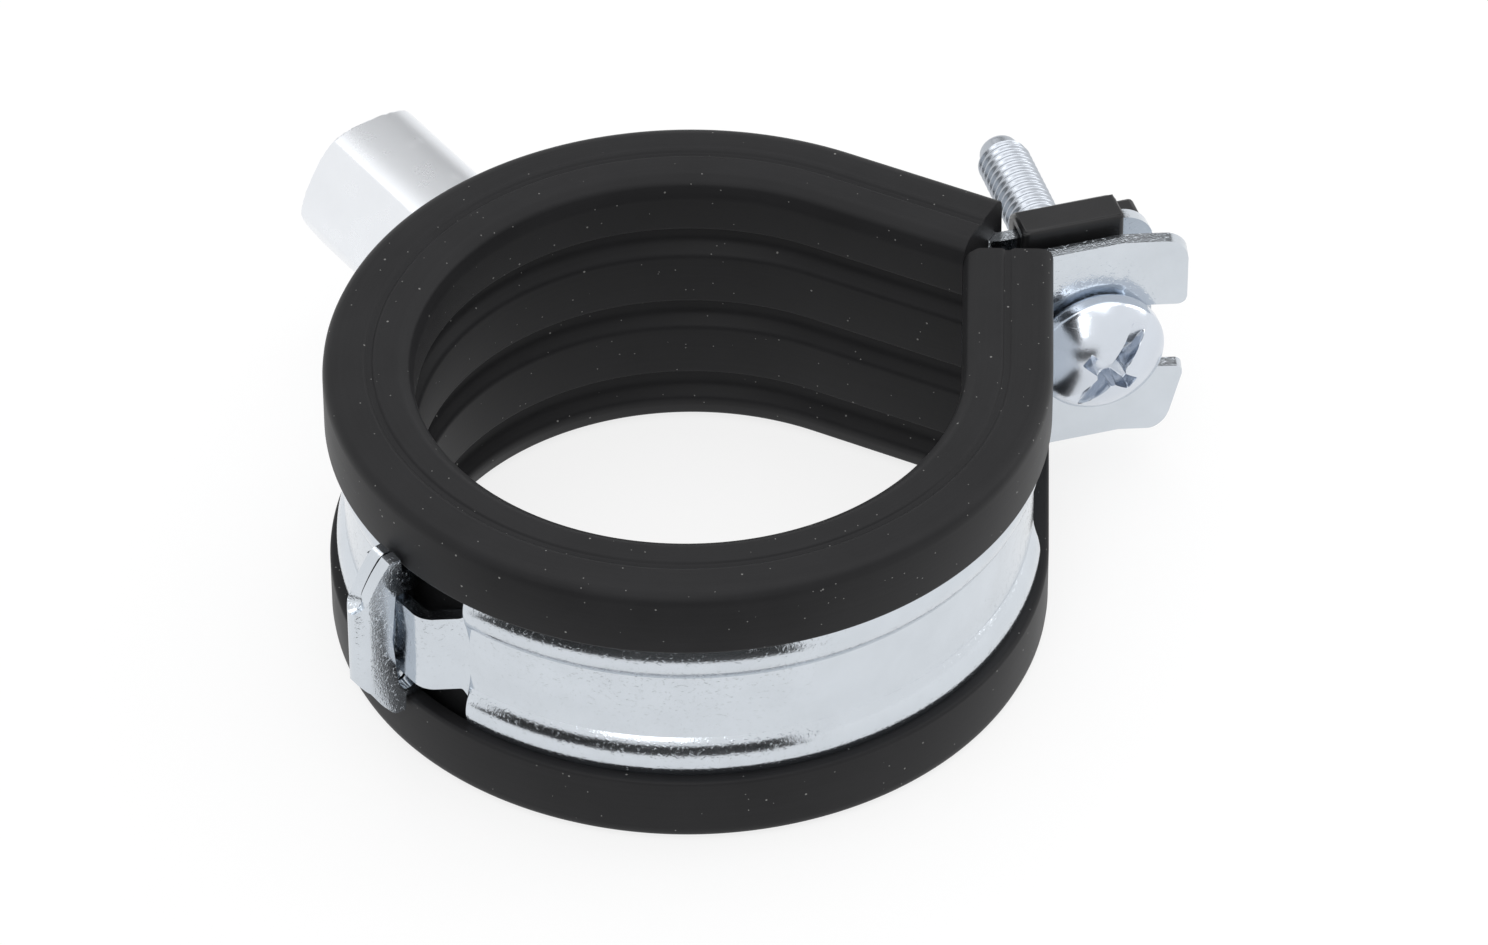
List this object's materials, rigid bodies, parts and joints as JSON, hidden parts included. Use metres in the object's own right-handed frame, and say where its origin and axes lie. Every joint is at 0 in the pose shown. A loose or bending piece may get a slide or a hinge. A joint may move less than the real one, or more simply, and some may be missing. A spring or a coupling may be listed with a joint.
{
  "type": "rubber lined pipe clamp",
  "caption": "Hinged two-shell steel pipe clamp with a grooved rubber liner, a screw closure in a forked ear and a threaded hexagon connection nut for hanging pipes.",
  "frame": {"origin": "on the axis of the pipe, at the middle of the clamp's width", "axes": "+Z along the pipe, upwards in the picture; +Y out through the connection nut; +X towards the screw closure"},
  "size_m": [0.0874, 0.082, 0.028],
  "materials": {
    "plated_sheet": "bright zinc plated sheet steel",
    "plated_nut": "bright zinc plated turned steel",
    "plated_screw": "zinc plated steel with a slightly blue passivation",
    "liner_rubber": "matt black extruded rubber",
    "clip_plastic": "black moulded plastic, slightly glossy"
  },
  "bodies": {
    "rear_shell": {"rear_strap": "plated_sheet", "connection_nut": "plated_nut", "rear_liner": "liner_rubber", "screw_clip": "clip_plastic"},
    "front_shell": {"front_strap": "plated_sheet", "front_liner": "liner_rubber"},
    "screw": {"closure_screw": "plated_screw"},
    "floating_nut": {"square_nut": "plated_screw"}
  },
  "joints": [
    {"name": "shell_hinge", "type": "hinge", "parent": "rear_shell", "child": "front_shell", "pos_m": [-0.0317, -0.00002, 0], "axis": [0, 0, -1], "range_deg": [0, 1.98]},
    {"name": "screw_turn", "type": "hinge", "parent": "front_shell", "child": "screw", "pos_m": [0.04012, -0.00525, 0], "axis": [-0.3256, -0.9455, 0], "range_deg": [0, 1090]},
    {"name": "nut_drift", "type": "slide", "parent": "rear_shell", "child": "floating_nut", "axis": [0.9455, -0.3256, 0], "range_m": [0, 0.00082]}
  ],
  "couplings": [
    {"joint": "screw_turn", "follows": "shell_hinge", "ratio": 546.72},
    {"joint": "nut_drift", "follows": "shell_hinge", "m_per_rad": 0.023391}
  ]
}
